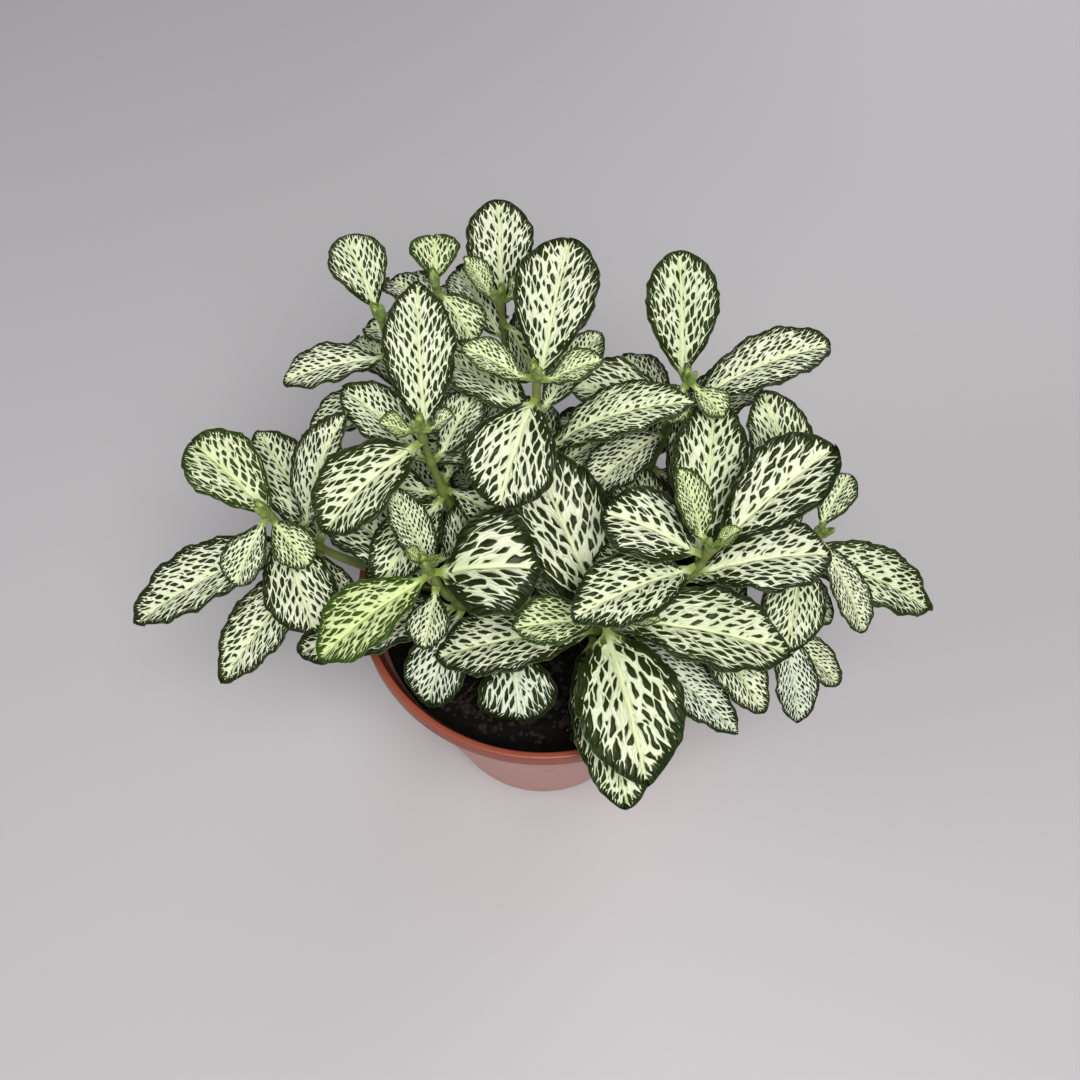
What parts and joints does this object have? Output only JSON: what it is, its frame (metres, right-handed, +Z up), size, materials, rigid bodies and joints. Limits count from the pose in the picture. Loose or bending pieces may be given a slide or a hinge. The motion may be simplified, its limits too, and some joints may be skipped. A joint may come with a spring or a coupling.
{
  "type": "potted nerve plant",
  "caption": "White-veined nerve plant (Fittonia) growing in a round tapered nursery pot filled with dark peat, standing on its flat base.",
  "frame": {"origin": "centre of the pot's flat underside, on the surface it stands on", "axes": "+Z up along the pot's axis, -Y towards the front, +X to the right seen from the front"},
  "size_m": [0.2472, 0.1702, 0.2047],
  "materials": {
    "terracotta_plastic": "satin terracotta-coloured moulded plastic",
    "peat": "rough moist dark peat soil",
    "stem_green": "soft green stem",
    "leaf_cream_green": "dark green leaf with a dense net of cream veins"
  },
  "bodies": {
    "root": {"leaves_back_1": "leaf_cream_green", "leaves_back_2": "leaf_cream_green", "leaves_back_3": "leaf_cream_green", "leaves_back_left_1": "leaf_cream_green", "leaves_back_left_2": "leaf_cream_green", "leaves_back_left_3": "leaf_cream_green", "leaves_back_tall_1": "leaf_cream_green", "leaves_back_tall_2": "leaf_cream_green", "leaves_back_tall_3": "leaf_cream_green", "leaves_far_left_1": "leaf_cream_green", "leaves_far_left_2": "leaf_cream_green", "leaves_far_left_3": "leaf_cream_green", "leaves_far_left_4": "leaf_cream_green", "leaves_far_right_1": "leaf_cream_green", "leaves_far_right_2": "leaf_cream_green", "leaves_far_right_3": "leaf_cream_green", "leaves_far_right_4": "leaf_cream_green", "leaves_front_1": "leaf_cream_green", "leaves_front_2": "leaf_cream_green", "leaves_front_3": "leaf_cream_green", "leaves_front_4": "leaf_cream_green", "leaves_front_left_1": "leaf_cream_green", "leaves_front_left_2": "leaf_cream_green", "leaves_front_left_3": "leaf_cream_green", "leaves_front_left_4": "leaf_cream_green", "leaves_low_front_1": "leaf_cream_green", "leaves_low_right_1": "leaf_cream_green", "leaves_low_right_2": "leaf_cream_green", "leaves_middle_1": "leaf_cream_green", "leaves_middle_2": "leaf_cream_green", "leaves_middle_3": "leaf_cream_green", "leaves_middle_4": "leaf_cream_green", "leaves_middle_5": "leaf_cream_green", "leaves_right_1": "leaf_cream_green", "leaves_right_2": "leaf_cream_green", "leaves_right_3": "leaf_cream_green", "leaves_right_4": "leaf_cream_green", "leaves_tall_left_1": "leaf_cream_green", "leaves_tall_left_2": "leaf_cream_green", "leaves_tall_left_3": "leaf_cream_green", "leaves_tall_left_4": "leaf_cream_green", "leaves_tall_right_1": "leaf_cream_green", "leaves_tall_right_2": "leaf_cream_green", "leaves_tall_right_3": "leaf_cream_green", "leaves_tall_right_4": "leaf_cream_green", "pot": "terracotta_plastic", "soil": "peat", "stem_back": "stem_green", "stem_back_left": "stem_green", "stem_back_tall": "stem_green", "stem_far_left": "stem_green", "stem_far_right": "stem_green", "stem_front": "stem_green", "stem_front_left": "stem_green", "stem_low_front": "stem_green", "stem_low_right": "stem_green", "stem_middle": "stem_green", "stem_right": "stem_green", "stem_tall_left": "stem_green", "stem_tall_right": "stem_green"}
  },
  "joints": []
}
